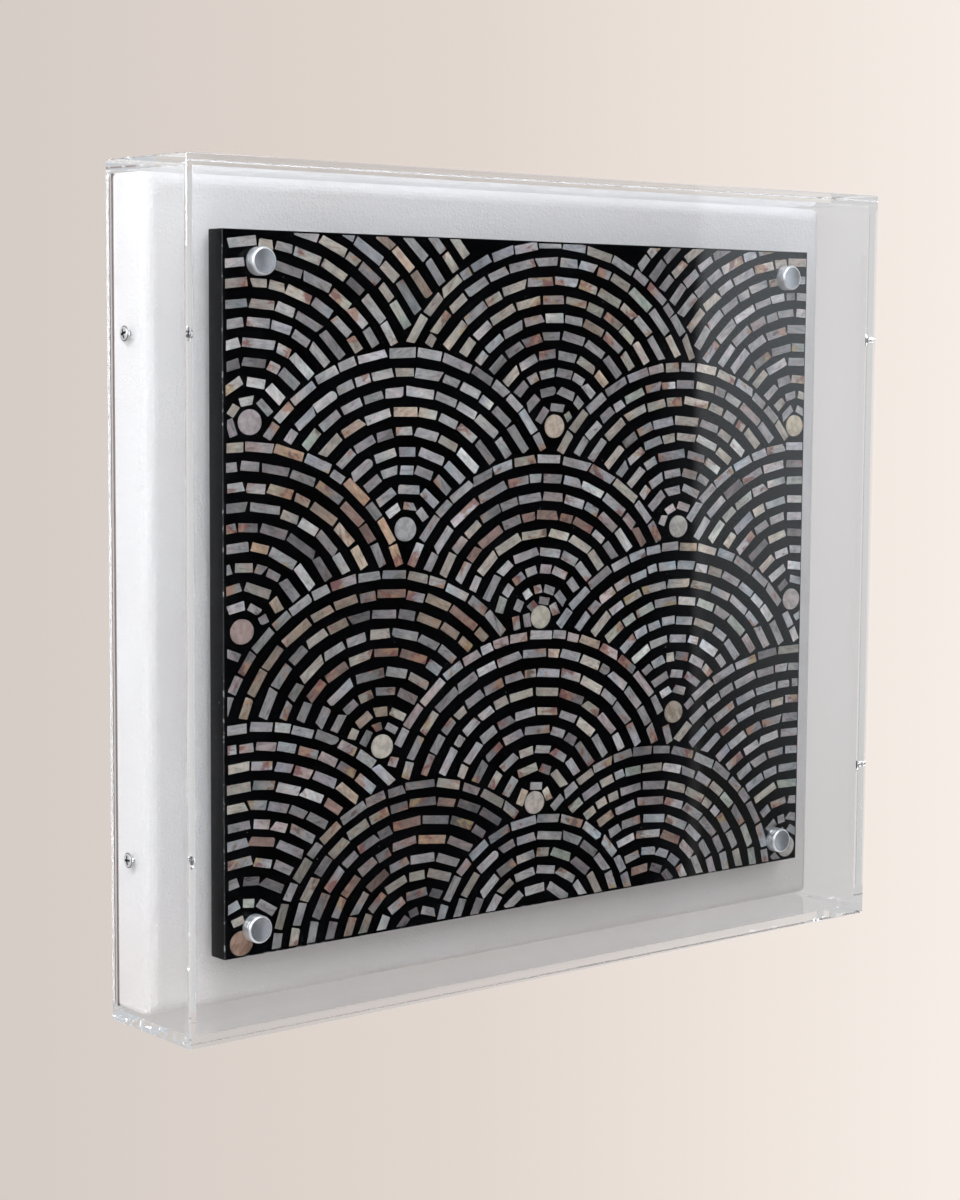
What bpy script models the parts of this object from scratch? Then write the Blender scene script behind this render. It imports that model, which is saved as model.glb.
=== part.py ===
"""Wave wall panel: a shell mosaic board on four standoffs, in a clear acrylic case on a white backing block.

Frame: metres, +Z up. The origin is the middle of the backing block's flat back face, where the object
meets the wall. The front looks along -Y.
"""

import math

import bmesh
import bpy
from mathutils import Matrix, Vector

MM = 0.001

# ---------------------------------------------------------------- driving dimensions (mm)
CASE_W, CASE_H, CASE_D = 686.0, 610.0, 102.0  # outside of the acrylic cover
SHEET = 8.0  # acrylic sheet thickness
SHEET_EDGE = 0.7  # polished arris on the outer edges

BACK_W, BACK_H, BACK_T = 668.0, 592.0, 43.0  # white backing block
BACK_EDGE = 10.0  # its soft front rounding
BACK_CORNER_EDGE = 4.0  # at the four corners that run from front to back
BACK_REAR_EDGE = 0.4

BOARD_W, BOARD_H, BOARD_T = 585.0, 513.5, 17.0  # black mosaic board
BOARD_Z = 0.75  # height of its middle
BOARD_FRONT = 65.7  # front face, out from the wall
BOARD_EDGE = 0.6  # broken edges all round
BOARD_LOWER_EDGE = 3.0  # worn rounding of the lower rear edge

CAP_R, CAP_H, CAP_CHAMFER = 10.0, 9.0, 1.9  # standoff cap
CAP_DISH = 0.4  # how far its face is dished
STUD_R, STUD_L = 4.0, 22.0
BARREL_R = 9.5
# Standoff centres across and up from the middle of the case. They were drilled by hand, so they differ a little.
CAP_PLACES = {
    "top_left": (-263.0, 235.7), "top_right": (265.6, 235.7),
    "bottom_left": (-267.4, -235.7), "bottom_right": (265.6, -236.4),
}
GAP = 0.3  # fit left between neighbours

SCREW_Z, SCREW_Y = 185.0, 23.0  # height of the side screws, and distance from the wall
HEAD_R, HEAD_DOME, HEAD_CONE = 5.3, 1.2, 2.7
SHANK_R, SHANK_L = 2.0, 25.0

DISC_R, DISC_T = 9.0, 1.5  # shell discs, let into the board
DISC_WIDE = 1.10  # they are a little wider than high
RECESS_DEPTH = 1.8

# Fan centres, as fractions of the board: across from its left edge, and down from its top edge.
# The rows step down by about a seventh of the height, and every other row is shifted half a fan.
FAN_CENTRES = {
    "r1_left": (0.039, 0.260), "r1_middle": (0.523, 0.274), "r1_right": (0.980, 0.281),
    "r2_left": (0.275, 0.417), "r2_right": (0.752, 0.435),
    "r3_left": (0.027, 0.546), "r3_middle": (0.502, 0.560), "r3_right": (0.980, 0.565),
    "r4_left": (0.239, 0.728), "r4_right": (0.748, 0.729),
    "r5_left": (0.025, 0.980), "r5_middle": (0.494, 0.842), "r5_right": (0.979, 0.977),
}
ROUND = 30  # sides of a turned piece


# ---------------------------------------------------------------- scene and materials
for old in list(bpy.data.objects):
    bpy.data.objects.remove(old, do_unlink=True)

parts = bpy.data.collections.new("wave_wall_panel")
cutters = bpy.data.collections.new("cutters")
for group in (parts, cutters):
    bpy.context.scene.collection.children.link(group)


def principled(name, colour, roughness, metallic=0.0, transmission=0.0, ior=1.5, coat=0.0):
    material = bpy.data.materials.new(name)
    material.use_nodes = True
    shader = material.node_tree.nodes["Principled BSDF"]
    shader.inputs["Base Color"].default_value = (*colour, 1.0)
    shader.inputs["Roughness"].default_value = roughness
    shader.inputs["Metallic"].default_value = metallic
    shader.inputs["Transmission Weight"].default_value = transmission
    shader.inputs["IOR"].default_value = ior
    shader.inputs["Coat Weight"].default_value = coat
    material.diffuse_color = (*colour, 1.0)
    return material


CLEAR = principled("clear_acrylic", (0.95, 0.97, 0.97), 0.0, transmission=1.0, ior=1.49)
WHITE = principled("white_plaster", (0.82, 0.81, 0.80), 0.75)
BLACK = principled("black_ground", (0.012, 0.012, 0.014), 0.25, coat=0.4)
METAL = principled("satin_aluminium", (0.78, 0.79, 0.80), 0.32, metallic=1.0)
STEEL = principled("bright_steel", (0.72, 0.73, 0.74), 0.25, metallic=1.0)
SHELL = principled("shell", (0.66, 0.62, 0.57), 0.28, coat=0.5)


# ---------------------------------------------------------------- shape helpers
def add_object(name, mesh, material, group=None):
    obj = bpy.data.objects.new(name, mesh)
    (group or parts).objects.link(obj)
    if material is not None and not obj.data.materials:
        obj.data.materials.append(material)
    return obj


def hide_cutter(obj):
    obj.hide_render = True
    obj.display_type = "WIRE"
    return obj


def box_mesh(name, size, centre):
    """A box of the given size in mm, round the given centre."""
    bm = bmesh.new()
    bmesh.ops.create_cube(bm, size=1.0)
    bmesh.ops.scale(bm, vec=Vector(size) * MM, verts=bm.verts)
    bmesh.ops.translate(bm, vec=Vector(centre) * MM, verts=bm.verts)
    mesh = bpy.data.meshes.new(name)
    bm.to_mesh(mesh)
    bm.free()
    return mesh


def turned(name, profile, material, group=None, steps=ROUND):
    """A solid turned about Z from a profile of (radius, height) in mm, run from top to bottom.

    A profile that leaves the axis is closed on itself, which gives a tube."""
    bm = bmesh.new()
    points = [bm.verts.new((radius * MM, 0.0, height * MM)) for radius, height in profile]
    for first, second in zip(points, points[1:]):
        bm.edges.new((first, second))
    if profile[0][0] > 0.0:
        bm.edges.new((points[-1], points[0]))
    mesh = bpy.data.meshes.new(name)
    bm.to_mesh(mesh)
    bm.free()
    obj = add_object(name, mesh, material, group)
    screw = obj.modifiers.new("turn", "SCREW")
    screw.axis = "Z"
    screw.steps = screw.render_steps = steps
    screw.use_merge_vertices = True
    screw.merge_threshold = 0.00001
    return obj


def cut(obj, cutter):
    boolean = obj.modifiers.new("cut_" + cutter.name, "BOOLEAN")
    boolean.operation = "DIFFERENCE"
    boolean.solver = "EXACT"
    boolean.object = cutter


def settle(obj):
    """The object's evaluated shape as a plain mesh, with its round faces smooth."""
    bpy.context.view_layer.update()
    graph = bpy.context.evaluated_depsgraph_get()
    mesh = bpy.data.meshes.new_from_object(obj.evaluated_get(graph))
    mesh.name = obj.name
    bm = bmesh.new()
    bm.from_mesh(mesh)
    bmesh.ops.remove_doubles(bm, verts=bm.verts, dist=0.000001)
    bm.to_mesh(mesh)
    bm.free()
    mesh.shade_smooth()
    mesh.set_sharp_from_angle(angle=math.radians(32))
    return mesh


def board_point(across, down):
    """World x and z in mm of a place on the board's face."""
    return (across - 0.5) * BOARD_W, BOARD_Z + (0.5 - down) * BOARD_H


# Local +Z of a turned piece points out of the board, along -Y.
OUTWARD = Matrix.Rotation(math.radians(90), 4, "X")


def stand(obj, x, depth, z, wide=1.0):
    """Places a turned piece with its axis along -Y and its zero height at `depth` from the wall."""
    obj.matrix_world = (
        Matrix.Translation(Vector((x, -depth, z)) * MM) @ OUTWARD @ Matrix.Diagonal((wide, 1.0, 1.0, 1.0))
    )
    return obj


def lay(obj, side, z, spin=0.0):
    """Places a screw or its hole in the left (-1) or right (+1) wall, with its axis along X."""
    turn = Matrix.Rotation(math.radians(90 * side), 4, "Y")
    obj.matrix_world = (
        Matrix.Translation(Vector((side * CASE_W / 2, -SCREW_Y, z)) * MM) @ turn @ Matrix.Rotation(spin, 4, "Z")
    )
    return obj


# ---------------------------------------------------------------- acrylic cover
cover = add_object("acrylic_cover", box_mesh("acrylic_cover", (CASE_W, CASE_D, CASE_H), (0, -CASE_D / 2, 0)), CLEAR)
arris = cover.modifiers.new("arris", "BEVEL")
arris.width = SHEET_EDGE * MM
arris.segments = 1
arris.limit_method = "ANGLE"
cavity_depth = CASE_D - SHEET
cavity = hide_cutter(add_object(
    "cavity",
    box_mesh("cavity", (CASE_W - 2 * SHEET, cavity_depth + 20.0, CASE_H - 2 * SHEET), (0, 10.0 - cavity_depth / 2, 0)),
    None, cutters,
))
cut(cover, cavity)

# ---------------------------------------------------------------- backing block
backing = add_object("backing_block", box_mesh("backing_block", (BACK_W, BACK_T, BACK_H), (0, -BACK_T / 2, 0)), WHITE)
rim = backing.data.attributes.new("bevel_weight_edge", "FLOAT", "EDGE")
for edge in backing.data.edges:
    ends = [backing.data.vertices[index].co for index in edge.vertices]
    if all(abs(end.y) < 1e-6 for end in ends):
        rim.data[edge.index].value = BACK_REAR_EDGE / BACK_EDGE
    elif abs(ends[0].y - ends[1].y) > 1e-6:
        rim.data[edge.index].value = BACK_CORNER_EDGE / BACK_EDGE
    else:
        rim.data[edge.index].value = 1.0
soft = backing.modifiers.new("soft_edges", "BEVEL")
soft.width = BACK_EDGE * MM
soft.segments = 6
soft.limit_method = "WEIGHT"

# ---------------------------------------------------------------- mosaic board
board = add_object(
    "mosaic_board",
    box_mesh("mosaic_board", (BOARD_W, BOARD_T, BOARD_H), (0, -BOARD_FRONT + BOARD_T / 2, BOARD_Z)),
    BLACK,
)
wear = board.data.attributes.new("bevel_weight_edge", "FLOAT", "EDGE")
for edge in board.data.edges:
    ends = [board.data.vertices[index].co for index in edge.vertices]
    lower_rear = all(end.z < 0 and end.y > (-BOARD_FRONT + BOARD_T / 2) * MM for end in ends)
    wear.data[edge.index].value = 1.0 if lower_rear else BOARD_EDGE / BOARD_LOWER_EDGE
broken = board.modifiers.new("broken_edges", "BEVEL")
broken.width = BOARD_LOWER_EDGE * MM
broken.segments = 2
broken.limit_method = "WEIGHT"

# ---------------------------------------------------------------- standoffs
cap_profile = [
    (0.0, CAP_H - CAP_DISH), (CAP_R * 0.55, CAP_H - CAP_DISH * 0.6), (CAP_R - CAP_CHAMFER, CAP_H),
    (CAP_R - 0.35, CAP_H - CAP_CHAMFER + 0.3), (CAP_R, CAP_H - CAP_CHAMFER - 0.1),
    (CAP_R, 0.0), (STUD_R, 0.0), (STUD_R, -STUD_L), (0.0, -STUD_L),
]
barrel_length = BOARD_FRONT - BOARD_T - GAP - BACK_T - GAP
bore_r = STUD_R + GAP
barrel_profile = [(bore_r, barrel_length), (BARREL_R, barrel_length), (BARREL_R, 0.0), (bore_r, 0.0)]
bore_profile = [(0.0, 5.0), (bore_r, 5.0), (bore_r, -BOARD_T - 5.0), (0.0, -BOARD_T - 5.0)]
for place, (x, z) in CAP_PLACES.items():
    cap = turned(f"standoff_cap_{place}", cap_profile, METAL, steps=36)
    stand(cap, x, BOARD_FRONT + GAP, z)
    barrel = turned(f"standoff_barrel_{place}", barrel_profile, METAL, steps=28)
    stand(barrel, x, BACK_T + GAP, z)
    bore = hide_cutter(turned(f"bore_{place}", bore_profile, None, cutters, steps=20))
    stand(bore, x, BOARD_FRONT, z)
    cut(board, bore)

# ---------------------------------------------------------------- shell discs in their recesses
disc_profile = [(0.0, 0.0), (DISC_R - 0.4, 0.0), (DISC_R, -0.35), (DISC_R, -DISC_T), (0.0, -DISC_T)]
recess_profile = [(0.0, 2.0), (DISC_R + GAP, 2.0), (DISC_R + GAP, -RECESS_DEPTH), (0.0, -RECESS_DEPTH)]
for fan, (across, down) in FAN_CENTRES.items():
    x, z = board_point(across, down)
    disc = turned(f"shell_disc_{fan}", disc_profile, SHELL)
    stand(disc, x, BOARD_FRONT, z, DISC_WIDE)
    recess = hide_cutter(turned(f"recess_{fan}", recess_profile, None, cutters, steps=20))
    stand(recess, x, BOARD_FRONT, z, DISC_WIDE)
    cut(board, recess)

# ---------------------------------------------------------------- cover screws
head_profile = [
    (0.0, HEAD_DOME), (HEAD_R * 0.35, HEAD_DOME * 0.92), (HEAD_R * 0.66, HEAD_DOME * 0.66), (HEAD_R * 0.88, HEAD_DOME * 0.32),
    (HEAD_R, 0.0), (HEAD_R, -0.25), (SHANK_R + 0.2, -HEAD_CONE), (SHANK_R, -HEAD_CONE - 0.8),
    (SHANK_R, 4.0 - SHANK_L), (0.5, 0.2 - SHANK_L), (0.0, -SHANK_L),
]
pattern = turned("screw_pattern", head_profile, STEEL, cutters, steps=20)
for number, angle in enumerate((0.0, 90.0)):
    bm = bmesh.new()
    bmesh.ops.create_cube(bm, size=1.0)
    for vertex in bm.verts:
        low = vertex.co.z < 0
        vertex.co = Vector((
            vertex.co.x * (2.2 if low else 5.6) * MM, vertex.co.y * (0.8 if low else 1.15) * MM,
            (-1.9 if low else 2.6) * MM,
        ))
    slot_mesh = bpy.data.meshes.new(f"cross_{number}")
    bm.to_mesh(slot_mesh)
    bm.free()
    slot = hide_cutter(add_object(f"cross_{number}", slot_mesh, None, cutters))
    slot.rotation_euler = (0.0, 0.0, math.radians(angle))
    cut(pattern, slot)
screw_mesh = settle(pattern)
bpy.data.objects.remove(pattern, do_unlink=True)

hole_profile = [
    (0.0, 3.0), (HEAD_R + GAP, 3.0), (HEAD_R + GAP, -0.25 - GAP), (SHANK_R + 0.2 + GAP, -HEAD_CONE - GAP),
    (SHANK_R + GAP, -HEAD_CONE - 0.8 - GAP), (SHANK_R + GAP, -SHANK_L - 1.0), (0.0, -SHANK_L - 1.0),
]
turns = {("left", "upper"): 38.0, ("left", "lower"): 72.0, ("right", "upper"): 15.0, ("right", "lower"): 55.0}
for (side_name, height), spin in turns.items():
    side = -1 if side_name == "left" else 1
    z = SCREW_Z if height == "upper" else -SCREW_Z
    screw = add_object(f"cover_screw_{side_name}_{height}", screw_mesh, STEEL)
    lay(screw, side, z, math.radians(spin))
    hole = hide_cutter(turned(f"screw_hole_{side_name}_{height}", hole_profile, None, cutters, steps=16))
    lay(hole, side, z)
    cut(cover, hole)
    cut(backing, hole)

# Round faces smooth, corners sharp, on every turned piece.
for obj in parts.objects:
    if any(modifier.type == "SCREW" for modifier in obj.modifiers):
        obj.data.shade_smooth()
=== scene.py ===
"""Looks of the wave wall panel: shell tiles, materials, soft studio light and the camera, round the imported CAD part."""
import math

import bpy
import numpy as np
from mathutils import Matrix, Vector


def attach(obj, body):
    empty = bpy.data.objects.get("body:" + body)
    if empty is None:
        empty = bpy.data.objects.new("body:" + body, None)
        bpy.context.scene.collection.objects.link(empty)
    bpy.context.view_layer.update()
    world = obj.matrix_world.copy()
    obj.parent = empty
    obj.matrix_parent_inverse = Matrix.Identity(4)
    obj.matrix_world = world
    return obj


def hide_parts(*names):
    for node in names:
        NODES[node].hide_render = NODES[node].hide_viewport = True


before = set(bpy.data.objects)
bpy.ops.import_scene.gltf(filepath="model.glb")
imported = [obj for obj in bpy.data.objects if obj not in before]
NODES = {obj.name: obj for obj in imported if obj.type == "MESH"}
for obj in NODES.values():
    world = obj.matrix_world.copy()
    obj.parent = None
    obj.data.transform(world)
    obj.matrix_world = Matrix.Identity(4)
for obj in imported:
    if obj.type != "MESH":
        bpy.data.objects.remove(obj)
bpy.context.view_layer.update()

MM = 0.001

# ---------------------------------------------------------------- named sizes (mm)
CASE_W = 686.0
BOARD_W, BOARD_H, BOARD_Z, BOARD_FRONT = 585.0, 513.5, 0.75, 65.7
FIT = 0.3  # gap left between neighbours
CAP_R, CAP_H, CAP_DISH, STUD_R, STUD_L = 10.0, 9.0, 0.4, 4.0, 22.0
FACE_R = CAP_R - 1.5  # the dished face, inside the cap's rim
CAP_PLACES = {
    "top_left": (-263.0, 235.7), "top_right": (265.6, 235.7),
    "bottom_left": (-267.4, -235.7), "bottom_right": (265.6, -236.4),
}
DISC_R, DISC_WIDE, DISC_T, DISC_PROUD = 9.0, 1.10, 1.5, 0.22
SCREW_Z, SCREW_Y, HEAD_R, HEAD_DOME = 185.0, 23.0, 5.3, 1.2
SPAN = 1200.0  # the board's face is laid out in 1200 steps across and 1200 steps down
TILE_WIDE = 15.1  # across the ring, in steps
TILE_GAP = 4.6  # between neighbours on a ring
EDGE_LEFT, EDGE_RIGHT, EDGE_TOP, EDGE_BOTTOM = 6.5, 3.0, 3.0, 4.0  # bare margin of the board
PROUD = 0.26  # how far a tile stands out of the black ground
ARRIS = 0.40  # soft edge of a tile
SUNK = 0.35  # how far its sides run down into the ground

# One row for each wave fan, front to back: centre across and down, outermost ring, last even ring,
# number of even rings, small ring round the disc (0 for none), all in steps.
FANS = (
    ("low_middle", 600, 1245, 203, 77, 5, 0),
    ("low_left", 362, 1222, 272, 47, 8, 0),
    ("low_right", 835, 1235, 292, 67, 8, 0),
    ("r5_left", 35, 1178, 362, 71, 10, 40),
    ("r5_middle", 593, 1010, 306, 62, 8, 31),
    ("r5_right", 1175, 1172, 394, 60, 11, 31),
    ("r4_left", 287, 873, 296, 61, 8, 33),
    ("r4_right", 897, 875, 315, 72, 8, 43),
    ("r3_left", 32, 655, 303, 72, 8, 40),
    ("r3_middle", 603, 672, 284, 52, 8, 30),
    ("r3_right", 1178, 678, 300, 66, 8, 38),
    ("r2_left", 330, 500, 302, 67, 8, 41),
    ("r2_right", 902, 522, 300, 69, 8, 37),
    ("r1_middle", 628, 329, 324, 64, 9, 34),
    ("r1_left", 47, 312, 487, 64, 14, 37),
    ("r1_right", 1178, 337, 474, 59, 14, 31),
)
DISC_KEEP = 23.5  # steps kept clear round a disc's centre
DISC_PLACES = {  # centres of the shell discs, across and down the board, in shares of it
    "r1_left": (0.039, 0.260), "r1_middle": (0.523, 0.274), "r1_right": (0.980, 0.281),
    "r2_left": (0.275, 0.417), "r2_right": (0.752, 0.435),
    "r3_left": (0.027, 0.546), "r3_middle": (0.502, 0.560), "r3_right": (0.980, 0.565),
    "r4_left": (0.239, 0.728), "r4_right": (0.748, 0.729),
    "r5_left": (0.025, 0.980), "r5_middle": (0.494, 0.842), "r5_right": (0.979, 0.977),
}

# ---------------------------------------------------------------- shell colours (base colours)
SHADES = {
    "pearl": (0.66, 0.625, 0.59),
    "silver": (0.505, 0.475, 0.465),
    "cool": (0.465, 0.465, 0.475),
    "lilac": (0.49, 0.455, 0.47),
    "cream": (0.57, 0.505, 0.425),
    "grey": (0.36, 0.331, 0.325),
    "dusk": (0.24, 0.213, 0.209),
    "pink": (0.50, 0.405, 0.385),
    "tan": (0.55, 0.425, 0.325),
    "brown": (0.36, 0.235, 0.19),
    "orange": (0.64, 0.42, 0.285),
    "green": (0.47, 0.485, 0.42),
}
MOODS = {  # how often each shade turns up in a fan
    "cool": {"silver": 8, "cool": 2.6, "lilac": 0.4, "pearl": 1.8, "grey": 3, "cream": 3.4, "pink": 0.5, "tan": 0.2, "green": 0.7, "dusk": 0.4},
    "mixed": {"silver": 7, "cream": 4, "grey": 3, "cool": 1.6, "lilac": 0.4, "pearl": 1.6, "pink": 0.9, "tan": 0.7, "dusk": 0.9, "brown": 0.2, "green": 0.4},
    "warm": {"silver": 5, "cream": 4, "tan": 1.5, "grey": 3, "pink": 1.5, "pearl": 1.2, "brown": 0.6, "orange": 0.2, "dusk": 1, "cool": 0.6},
    "rust": {"pink": 2.6, "tan": 2, "brown": 2.4, "cream": 2, "grey": 3, "dusk": 2, "silver": 3, "orange": 0.2},
}
FAN_MOOD = {
    "low_middle": "mixed", "low_left": "rust", "low_right": "mixed", "r5_left": "mixed", "r5_middle": "mixed", "r5_right": "cool",
    "r4_left": "warm", "r4_right": "cool", "r3_left": "warm", "r3_middle": "mixed", "r3_right": "cool",
    "r2_left": "cool", "r2_right": "cool", "r1_middle": "mixed", "r1_left": "mixed", "r1_right": "cool",
}
FAN_LIGHT = {  # mean lightness of a fan's shell, partly its own tone and partly painted light and shade
    "low_middle": 0.393, "low_left": 0.281, "low_right": 0.408, "r5_left": 0.408,
    "r5_middle": 0.459, "r5_right": 0.437, "r4_left": 0.329, "r4_right": 0.525,
    "r3_left": 0.36, "r3_middle": 0.453, "r3_right": 0.525, "r2_left": 0.49,
    "r2_right": 0.47, "r1_middle": 0.41, "r1_left": 0.42, "r1_right": 0.45,
}
STAINED = {"cool": 0.42, "mixed": 0.62, "warm": 0.80, "rust": 0.85}  # share of tiles with brown or orange marks
DISC_LOOK = {  # main colour, second colour, how strong its banding is
    "r1_left": ((0.47, 0.39, 0.39), (0.58, 0.51, 0.48), 0.5),
    "r1_middle": ((0.66, 0.54, 0.44), (0.73, 0.57, 0.42), 0.7),
    "r1_right": ((0.68, 0.61, 0.46), (0.70, 0.53, 0.37), 0.8),
    "r2_left": ((0.55, 0.53, 0.51), (0.44, 0.43, 0.42), 0.7),
    "r2_right": ((0.61, 0.57, 0.50), (0.47, 0.44, 0.41), 0.7),
    "r3_left": ((0.39, 0.28, 0.25), (0.50, 0.37, 0.33), 0.7),
    "r3_middle": ((0.70, 0.64, 0.52), (0.58, 0.50, 0.39), 0.5),
    "r3_right": ((0.54, 0.47, 0.44), (0.63, 0.52, 0.48), 0.6),
    "r4_left": ((0.68, 0.60, 0.50), (0.77, 0.70, 0.59), 0.5),
    "r4_right": ((0.55, 0.45, 0.35), (0.35, 0.28, 0.22), 1.0),
    "r5_left": ((0.44, 0.28, 0.20), (0.32, 0.18, 0.12), 0.8),
    "r5_middle": ((0.66, 0.57, 0.50), (0.58, 0.49, 0.43), 0.4),
    "r5_right": ((0.51, 0.48, 0.44), (0.62, 0.57, 0.52), 0.6),
}


# ---------------------------------------------------------------- node helpers
class Graph:
    """Short names for building a node tree."""

    def __init__(self, tree):
        self.tree = tree

    def node(self, kind, **settings):
        made = self.tree.nodes.new(kind)
        for name, value in settings.items():
            setattr(made, name, value)
        return made

    def put(self, socket, value):
        if isinstance(value, bpy.types.NodeSocket):
            self.tree.links.new(value, socket)
        elif isinstance(value, (int, float)):
            socket.default_value = value
        else:
            value = tuple(value)
            socket.default_value = value + (1.0,) if len(value) == 3 and socket.type == "RGBA" else value

    def math(self, operation, a, b=0.0, clamp=False):
        made = self.node("ShaderNodeMath", operation=operation, use_clamp=clamp)
        self.put(made.inputs[0], a)
        self.put(made.inputs[1], b)
        return made.outputs[0]

    def step(self, value, low, high, out_low=0.0, out_high=1.0):
        """A smooth rise from out_low to out_high as value goes from low to high."""
        made = self.node("ShaderNodeMapRange", interpolation_type="SMOOTHSTEP")
        for index, item in enumerate((value, low, high, out_low, out_high)):
            self.put(made.inputs[index], item)
        return made.outputs[0]

    def mix(self, factor, a, b, blend="MIX"):
        made = self.node("ShaderNodeMix", data_type="RGBA", blend_type=blend)
        self.put(made.inputs[0], factor)
        self.put(made.inputs[6], a)
        self.put(made.inputs[7], b)
        return made.outputs[2]

    def vector(self, operation, a, b):
        made = self.node("ShaderNodeVectorMath", operation=operation)
        self.put(made.inputs[0], a)
        if operation == "SCALE":
            self.put(made.inputs[3], b)
        else:
            self.put(made.inputs[1], b)
        return made.outputs[1] if operation == "DOT_PRODUCT" else made.outputs[0]

    def noise(self, vector, scale, detail=3.0, roughness=0.5, distortion=0.0):
        made = self.node("ShaderNodeTexNoise")
        self.put(made.inputs["Vector"], vector)
        for name, value in (("Scale", scale), ("Detail", detail), ("Roughness", roughness), ("Distortion", distortion)):
            self.put(made.inputs[name], value)
        return made.outputs[0]

    def cells(self, vector, scale, randomness=1.0):
        made = self.node("ShaderNodeTexVoronoi")
        self.put(made.inputs["Vector"], vector)
        self.put(made.inputs["Scale"], scale)
        self.put(made.inputs["Randomness"], randomness)
        return made.outputs["Distance"]

    def place(self, vector, scale=(1, 1, 1), turn=(0, 0, 0), shift=(0, 0, 0)):
        made = self.node("ShaderNodeMapping")
        self.put(made.inputs["Vector"], vector)
        made.inputs["Location"].default_value = shift
        made.inputs["Rotation"].default_value = turn
        made.inputs["Scale"].default_value = scale
        return made.outputs[0]

    def split(self, vector):
        made = self.node("ShaderNodeSeparateXYZ")
        self.put(made.inputs[0], vector)
        return made.outputs

    def bump(self, height, strength, distance):
        made = self.node("ShaderNodeBump")
        self.put(made.inputs["Height"], height)
        made.inputs["Strength"].default_value = strength
        made.inputs["Distance"].default_value = distance
        return made.outputs[0]


def shader(name, **values):
    """A new material, its graph and its Principled shader, with plain values set on the shader's own sockets."""
    material = bpy.data.materials.new(name)
    material.use_nodes = True
    graph = Graph(material.node_tree)
    principled = material.node_tree.nodes["Principled BSDF"]
    for socket, value in values.items():
        graph.put(principled.inputs[socket.replace("_", " ")], value)
    return material, graph, principled


def object_space(graph):
    return graph.node("ShaderNodeTexCoord").outputs["Object"]


# ---------------------------------------------------------------- materials
def acrylic():
    """Clear polished sheet, with the faint blue-green of thick acrylic."""
    material, g, p = shader("look_clear_acrylic", Base_Color=(0.878, 0.905, 0.935), Roughness=0.0, IOR=1.49, Transmission_Weight=1.0)
    return material


def plaster():
    material, g, p = shader("look_white_plaster", Specular_IOR_Level=0.25)
    where = object_space(g)
    broad = g.noise(where, 7.0, 3.0)
    fine = g.noise(where, 420.0, 4.0, 0.6)
    pebbles = g.cells(where, 540.0)
    dents = g.noise(where, 95.0, 4.0, 0.62)
    tone = g.step(broad, 0.35, 0.65)
    colour = g.mix(tone, (0.900, 0.856, 0.832), (0.925, 0.890, 0.868))
    colour = g.mix(g.step(fine, 0.3, 0.75, 0.0, 0.35), colour, (0.83, 0.79, 0.775))
    # warmer and darker toward the bottom, a painted warm shade there; and a thin brown line down the rear of its sides,
    # a painted shadow of the narrow gap between them and the cover
    x, y, z = g.split(where)
    colour = g.mix(g.step(z, -0.16, -0.275), colour, g.vector("MULTIPLY", colour, (1.0, 0.962, 0.938)))
    # painted shadow: a thin dark brown line down the rear of the sides, where the gap to the cover lies in shade
    rear_shadow_line = g.math("MULTIPLY", g.step(y, -3.6 * MM, -2.4 * MM), g.step(dents, 0.15, 0.35, 0.75, 1.0))
    rear_shadow_line = g.math("MULTIPLY", rear_shadow_line, g.step(g.math("ABSOLUTE", x), 331.0 * MM, 333.0 * MM))
    colour = g.mix(rear_shadow_line, colour, (0.115, 0.075, 0.062))
    g.put(p.inputs["Base Color"], colour)
    g.put(p.inputs["Roughness"], g.step(fine, 0.2, 0.8, 0.7, 0.9))
    height = g.math("ADD", g.math("MULTIPLY", pebbles, 0.6), g.math("ADD", fine, g.math("MULTIPLY", dents, 1.3)))
    g.put(p.inputs["Normal"], g.bump(height, 0.65, 0.0007))
    return material


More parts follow.
